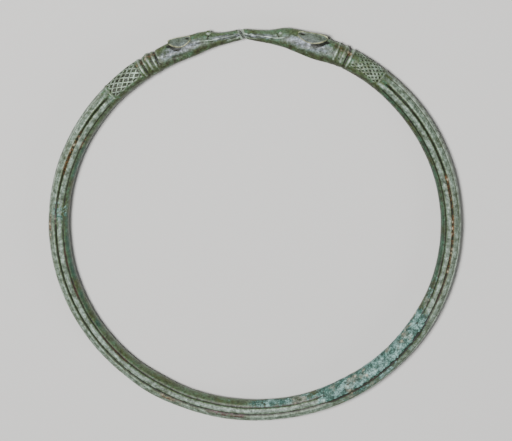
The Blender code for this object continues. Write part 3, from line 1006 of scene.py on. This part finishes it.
OLIVE_GREEN = colour(0.058, 0.082, 0.020)
GREY_GREEN = colour(0.080, 0.128, 0.066)
BLUE_GREEN = colour(0.036, 0.098, 0.058)
OLIVE_BROWN_AND_SHADE = colour(0.028, 0.025, 0.008)
GROOVE_DARK = colour(0.006, 0.008, 0.004)
GROOVE_BROWN = colour(0.021, 0.017, 0.007)
PALE_RIDGE = colour(0.390, 0.470, 0.390)
LILAC_GREY = colour(0.120, 0.135, 0.145)
PALE_LILAC = colour(0.285, 0.320, 0.375)
RIDGE_GREY = colour(0.140, 0.190, 0.148)
PALE_RIDGE_GREY = colour(0.285, 0.370, 0.315)
EAR_GREY = colour(0.105, 0.130, 0.110)
RIM_CREAM = colour(0.430, 0.440, 0.260)
TURQUOISE = colour(0.020, 0.078, 0.060)
PALE_TURQUOISE = colour(0.250, 0.430, 0.400)
PINK_CREAM = colour(0.300, 0.255, 0.190)
CREAM = colour(0.560, 0.500, 0.350)
RUST_ORANGE = colour(0.150, 0.072, 0.024)
RUST_BROWN = colour(0.034, 0.018, 0.007)
MAROON = colour(0.048, 0.015, 0.012)
TEAL = colour(0.012, 0.068, 0.040)
SPECK_DARK = colour(0.004, 0.005, 0.003)

# Sizes of what makes the colours uneven
BLOTCH_SIZE = 0.0070
CLUMP_SIZE = 0.0028
MOTTLE_SIZE = 0.0017
PEBBLE_SIZE = 0.0017
GRAIN_SIZE = 0.00055

# How strongly a colour shows: two values of the noise or of the distance that it follows, and its
# strengths there, or 0 and 1. First the plain skin
GREY_BLOTCHES = (0.38, 0.60)
BLUE_SPOTS = (0.50, 0.66, 0.0, 0.75)
BROWN_SPOTS = (0.30, 0.62, 1.0, 0.35)
LILAC_SPOTS = (0.28, 0.50)
PALE_LILAC_SPOTS = (0.46, 0.66)
RIDGE_SPOTS = (0.22, 0.46)
PALE_RIDGE_SPOTS = (0.44, 0.64)
TEAL_BLOTCHES = (0.36, 0.54)
# What the mottle adds to a hollow in millimetres, then the hollows that are crests and grooves
UNEVEN = (0.30, 0.70, 0.022, -0.022)
CREST = (-0.036, -0.110)
GROOVE = (0.018, 0.075)
PALE_BLOTCHES = (0.36, 0.60, 0.50, 0.95)
BROWN_GROOVE_BLOTCHES = (0.42, 0.62)
# Millimetres outside the edge of an ear: its inside, both edges of its rim, and the painted shadow under
# it
EAR_INSIDE = (-0.25, -0.50)
EAR_SPOTS = (0.30, 0.60, 0.4, 0.9)
RIM_INNER_EDGE = (-0.38, -0.24)
RIM_OUTER_EDGE = (0.20, 0.12)
RIM_SPOTS = (0.34, 0.54, 0.30, 0.95)
EAR_SHADOW_NEAR_EDGE = (0.12, 0.18)
EAR_SHADOW_FAR_EDGE = (0.10, -0.10)
# Stains and the crust
RUST_SPOTS = (0.41, 0.54)
RUST_GRAIN = (0.45, 0.60)
MAROON_SPOTS = (0.39, 0.53)
CRUST_SPOTS = (0.30, 0.70, -0.35, 0.35)
CRUST_START = (0.28, 0.52)
CRUST_IN_GROOVE = (0.1, 0.7, 0.92, 0.0)
CHALK_CLUMPS = (0.47, 0.66)
CHALK_GRAIN = (0.35, 0.65, -0.40, 0.40)
CHALK_STRENGTH = (0.0, 1.0, 0.0, 0.9)
PINK_BLOTCHES = (0.55, 0.66, 0.0, 0.65)
PEBBLE_GRAIN = (0.3, 0.7, -0.16, 0.16)
PEBBLE_EDGE = (0.34, 0.20)
PEBBLE_BLOTCHES = (0.54, 0.62, 0.0, 0.7)
PEBBLES_ON_RUST = 0.85
# Specks, and how light the grain and the mottle make the skin
SPECK_GRAIN = (0.38, 0.29, 0.0, 0.9)
GRAIN_LIGHT = (0.30, 0.70, 0.40, 1.45)
MOTTLE_LIGHT = (0.30, 0.70, 0.48, 1.38)
# The finish
ROUGHNESS_SPOTS = (0.3, 0.7, 0.58, 0.36)
CRUST_ROUGHNESS = 0.25
CREST_METAL = 0.35
GRAIN_BUMP = 0.6
BUMP_STRENGTH = 0.8
BUMP_DISTANCE = 0.00022

Clouds = namedtuple("Clouds", "spot blotch mottle grain")


def make_clouds(tree):
    """The place on the skin, and the noises that vary its colours."""
    spot = put(tree, "TexCoord", {}).outputs["Object"]
    return Clouds(
        spot,
        noise_of(tree, spot, BLOTCH_SIZE),
        noise_of(tree, spot, MOTTLE_SIZE, detail=5.0, roughness=0.62),
        noise_of(tree, spot, GRAIN_SIZE, detail=3.0, roughness=0.7),
    )


def stained(tree, skin, mark, spots, stain):
    """Covers the skin with a stain where it is marked, broken up into spots."""
    return mixed(tree, times(tree, attribute(tree, mark), spots), skin, stain)


def plain_skin(tree, clouds):
    """Olive, grey and blue green, brown patina and painted shade towards the neck, lilac on the heads
    with painted highlights, pale on the ridges, partly a painted highlight.
    """
    mottle = clouds.mottle
    skin = mixed(tree, ramp(tree, clouds.blotch, *GREY_BLOTCHES), OLIVE_GREEN, GREY_GREEN)
    skin = mixed(tree, ramp(tree, mottle, *BLUE_SPOTS), skin, BLUE_GREEN)
    # Olive brown towards the neck: patina, and painted shade on that side
    skin = stained(tree, skin, "neck_side", ramp(tree, mottle, *BROWN_SPOTS), OLIVE_BROWN_AND_SHADE)
    # Lilac grey patina, with pale spots that paint highlights
    lilac = mixed(tree, ramp(tree, mottle, *PALE_LILAC_SPOTS), LILAC_GREY, PALE_LILAC)
    skin = stained(tree, skin, "lilac", ramp(tree, mottle, *LILAC_SPOTS), lilac)
    # Pale ridges of the hoop: worn patina and a painted highlight
    ridge = mixed(tree, ramp(tree, mottle, *PALE_RIDGE_SPOTS), RIDGE_GREY, PALE_RIDGE_GREY)
    skin = stained(tree, skin, "ridge", ramp(tree, mottle, *RIDGE_SPOTS), ridge)
    return stained(tree, skin, "teal", ramp(tree, clouds.blotch, *TEAL_BLOTCHES), TEAL)


def with_ears(tree, clouds, skin):
    """Grey inside the ears, and cream on their rims."""
    ear = attribute(tree, "ear")
    inside = times(tree, ramp(tree, ear, *EAR_INSIDE), ramp(tree, clouds.mottle, *EAR_SPOTS))
    skin = mixed(tree, inside, skin, EAR_GREY)
    rim = times(tree, ramp(tree, ear, *RIM_INNER_EDGE), ramp(tree, ear, *RIM_OUTER_EDGE))
    return mixed(tree, times(tree, rim, ramp(tree, clouds.mottle, *RIM_SPOTS)), skin, RIM_CREAM)


def with_ear_shadow(tree, skin):
    """Painted dark shadow under the free edges of the ears."""
    ear = attribute(tree, "ear")
    past_shadow = plus(tree, ear, times(tree, attribute(tree, "ear_shadow"), -1.0))
    darkening = times(tree, ramp(tree, past_shadow, *EAR_SHADOW_FAR_EDGE), ramp(tree, ear, *EAR_SHADOW_NEAR_EDGE))
    return mixed(tree, darkening, skin, GROOVE_DARK)


def with_stains(tree, clouds, skin):
    """Rust brown and dark red."""
    rust = mixed(tree, ramp(tree, clouds.grain, *RUST_GRAIN), RUST_BROWN, RUST_ORANGE)
    skin = stained(tree, skin, "rust", ramp(tree, clouds.mottle, *RUST_SPOTS), rust)
    return stained(tree, skin, "maroon", ramp(tree, clouds.mottle, *MAROON_SPOTS), MAROON)


def crust_colour(tree, clouds):
    """Turquoise with chalky clumps and pink cream blotches."""
    clump = noise_of(tree, clouds.spot, CLUMP_SIZE, detail=4.0, roughness=0.55)
    chalk = plus(tree, ramp(tree, clump, *CHALK_CLUMPS), ramp(tree, clouds.grain, *CHALK_GRAIN))
    crust = mixed(tree, ramp(tree, chalk, *CHALK_STRENGTH), TURQUOISE, PALE_TURQUOISE)
    return mixed(tree, ramp(tree, clouds.blotch, *PINK_BLOTCHES), crust, PINK_CREAM)


def with_pebbles(tree, clouds, skin):
    """Ragged cream pebbles in the crust and on the rust."""
    inputs = {"Vector": clouds.spot, "Scale": 1 / PEBBLE_SIZE, "Randomness": 1.0}
    distance = put(tree, "TexVoronoi", inputs).outputs["Distance"]
    pebbles = ramp(tree, plus(tree, distance, ramp(tree, clouds.grain, *PEBBLE_GRAIN)), *PEBBLE_EDGE)
    places = times(tree, attribute(tree, "crust"), ramp(tree, clouds.blotch, *PEBBLE_BLOTCHES))
    places = plus(tree, places, times(tree, attribute(tree, "rust"), PEBBLES_ON_RUST))
    return mixed(tree, times(tree, pebbles, places), skin, CREAM)


def lit(tree, skin, value, light):
    """Makes the skin lighter and darker with a value."""
    bright = ramp(tree, value, *light)
    grey = put(tree, "CombineColor", {0: bright, 1: bright, 2: bright}).outputs[0]
    return mixed(tree, 1.0, skin, grey, blend_type="MULTIPLY")


def bronze():
    """Bronze under a mottled green, grey and brown corrosion skin."""
    material = bpy.data.materials.new("patinated_bronze")
    material.use_nodes = True
    tree = material.node_tree
    shader = tree.nodes["Principled BSDF"]
    clouds = make_clouds(tree)
    # How hollow each place is: hollows are painted dark with dirt and shade, crests pale with wear and a
    # painted highlight
    hollow = plus(tree, attribute(tree, "hollow"), ramp(tree, clouds.mottle, *UNEVEN))
    crest = ramp(tree, hollow, *CREST)
    groove = ramp(tree, hollow, *GROOVE)
    crust = plus(tree, attribute(tree, "crust"), ramp(tree, clouds.mottle, *CRUST_SPOTS))
    crust = times(tree, ramp(tree, crust, *CRUST_START), ramp(tree, groove, *CRUST_IN_GROOVE))

    skin = plain_skin(tree, clouds)
    # Crests painted pale: wear, and a painted highlight
    pale = times(tree, crest, ramp(tree, clouds.blotch, *PALE_BLOTCHES))
    skin = mixed(tree, pale, skin, PALE_RIDGE)
    skin = with_ears(tree, clouds, skin)
    # Dark dirt in the grooves and hollows, deepened into painted shade
    darkening = mixed(tree, ramp(tree, clouds.blotch, *BROWN_GROOVE_BLOTCHES), GROOVE_DARK, GROOVE_BROWN)
    skin = mixed(tree, groove, skin, darkening)
    skin = with_stains(tree, clouds, skin)
    skin = mixed(tree, crust, skin, crust_colour(tree, clouds))
    skin = with_pebbles(tree, clouds, skin)
    skin = mixed(tree, ramp(tree, clouds.grain, *SPECK_GRAIN), skin, SPECK_DARK)
    # Painted shadow under the free edges of the ears
    skin = with_ear_shadow(tree, skin)
    skin = lit(tree, skin, clouds.grain, GRAIN_LIGHT)
    skin = lit(tree, skin, clouds.mottle, MOTTLE_LIGHT)
    tree.links.new(skin, shader.inputs["Base Color"])

    roughness = ramp(tree, clouds.mottle, *ROUGHNESS_SPOTS)
    roughness = plus(tree, roughness, times(tree, crust, CRUST_ROUGHNESS))
    tree.links.new(roughness, shader.inputs["Roughness"])
    tree.links.new(times(tree, crest, CREST_METAL), shader.inputs["Metallic"])
    height = plus(tree, times(tree, clouds.grain, GRAIN_BUMP), clouds.mottle)
    inputs = {"Strength": BUMP_STRENGTH, "Distance": BUMP_DISTANCE, "Height": height}
    tree.links.new(put(tree, "Bump", inputs).outputs[0], shader.inputs["Normal"])
    return material


def make_torc():
    torc = make_bar()
    additions = []
    for side in (1, -1):
        for level in (1, -1):
            additions += [make_ear(side, level), make_eye(side, level)]
    cast_together(torc, additions)
    record_corrosion(torc.data)
    centre_in_frame(torc.data)
    torc.data.shade_smooth()
    torc.data.set_sharp_from_angle(angle=math.radians(SHARP_ANGLE))
    torc.data.materials.clear()
    torc.data.materials.append(bronze())
    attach(torc, "root")
    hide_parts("torc")


# The studio
FLOOR_SIZE = 3.0
FLOOR_COLOUR = colour(0.66, 0.65, 0.63)
FLOOR_ROUGHNESS = 0.85
CAMERA_ELEVATION = 73.0
CAMERA_DIRECTION = 76.9
PICTURE_TOP_DIRECTION = 86.9
CAMERA_DISTANCE = 1.0
CAMERA_LENS = 193.15
# Where the camera aims: moved from the ring's middle across the picture and up it
AIM_RIGHT = 0.00065
AIM_UP = 0.0029
# Softboxes: name, place, size, power
SOFTBOXES = (
    ("overhead_softbox", (-0.25, 0.30, 1.15), 0.30, 24.0),
    ("side_softbox", (0.9, -0.6, 0.5), 0.5, 3.0),
)
AIR_COLOUR = colour(0.95, 0.97, 1.0)
AIR_LIGHT = 0.12


def make_floor():
    bm = bmesh.new()
    bmesh.ops.create_grid(bm, x_segments=1, y_segments=1, size=FLOOR_SIZE / 2)
    floor = new_piece("studio_floor", bm)
    paper = bpy.data.materials.new("studio_paper")
    paper.use_nodes = True
    shader = paper.node_tree.nodes["Principled BSDF"]
    shader.inputs["Base Color"].default_value = FLOOR_COLOUR
    shader.inputs["Roughness"].default_value = FLOOR_ROUGHNESS
    floor.data.materials.append(paper)


def make_camera():
    """Looks down on the lying ring from the side of its gap."""
    tilt = math.radians(CAMERA_ELEVATION)
    turn = math.radians(CAMERA_DIRECTION)
    away = Vector((math.cos(tilt) * math.cos(turn), math.cos(tilt) * math.sin(turn), math.sin(tilt)))
    top = math.radians(PICTURE_TOP_DIRECTION)
    top = Vector((math.cos(top), math.sin(top), 0))
    up = (top - top.dot(away) * away).normalized()
    right = up.cross(away)
    aim = Vector((0, 0, CENTRE_HEIGHT)) + right * AIM_RIGHT + up * AIM_UP
    camera = bpy.data.objects.new("camera", bpy.data.cameras.new("camera"))
    bpy.context.scene.collection.objects.link(camera)
    camera.matrix_world = Matrix.Translation(aim + away * CAMERA_DISTANCE) @ Matrix(
        (right, up, away)
    ).transposed().to_4x4()
    camera.data.lens = CAMERA_LENS
    bpy.context.scene.camera = camera


def make_softbox(name, place, size, power):
    """A square studio light that faces the ring."""
    light = bpy.data.lights.new(name, "AREA")
    light.size = size
    light.energy = power
    softbox = bpy.data.objects.new(name, light)
    bpy.context.scene.collection.objects.link(softbox)
    place = Vector(place)
    softbox.matrix_world = Matrix.Translation(place) @ place.to_track_quat("Z", "Y").to_matrix().to_4x4()


def make_light():
    for softbox in SOFTBOXES:
        make_softbox(*softbox)
    world = bpy.data.worlds.new("studio_air")
    world.use_nodes = True
    background = world.node_tree.nodes["Background"]
    background.inputs["Color"].default_value = AIR_COLOUR
    background.inputs["Strength"].default_value = AIR_LIGHT
    bpy.context.scene.world = world


make_camera()
make_floor()
make_light()
make_torc()
